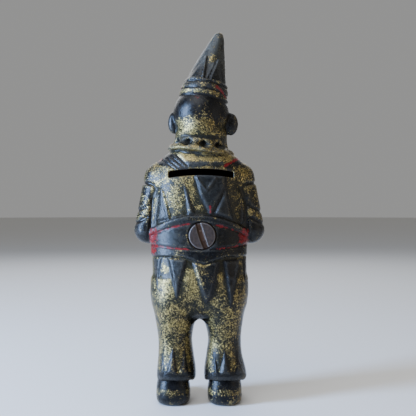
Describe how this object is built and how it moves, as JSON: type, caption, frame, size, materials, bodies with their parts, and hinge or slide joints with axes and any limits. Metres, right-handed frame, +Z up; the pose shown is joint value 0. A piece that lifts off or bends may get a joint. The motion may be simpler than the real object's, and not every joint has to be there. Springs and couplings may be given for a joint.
{
  "type": "figural coin bank",
  "caption": "Standing hollow clown figure with a leaning cone hat, a coin slot across the shoulders, and front and rear half shells clamped by a slotted screw at the waist.",
  "frame": {"origin": "on the surface the figure stands on, at the middle of its width and depth", "axes": "+Z up from the soles to the hat, -Y the way the clown faces, +Y the back with the coin slot, -X the clown's right"},
  "size_m": [0.0602, 0.039, 0.1715],
  "materials": {
    "painted_iron": "black japan with worn, speckled gold paint and traces of red",
    "screw_steel": "dark, lightly rusted, worn bright at the slot's edge"
  },
  "bodies": {
    "front_half": {"front_casting": "painted_iron"},
    "rear_half": {"rear_casting": "painted_iron"},
    "screw": {"assembly_screw": "screw_steel"}
  },
  "joints": [
    {"name": "rear_half_lift", "type": "slide", "parent": "front_half", "child": "rear_half", "axis": [0, 1, 0], "range_m": [0, 0.05]},
    {"name": "screw_turn", "type": "hinge", "parent": "rear_half", "child": "screw", "pos_m": [-0.0016, 0.0187, 0.0778], "axis": [0, 1, 0], "continuous": true}
  ]
}
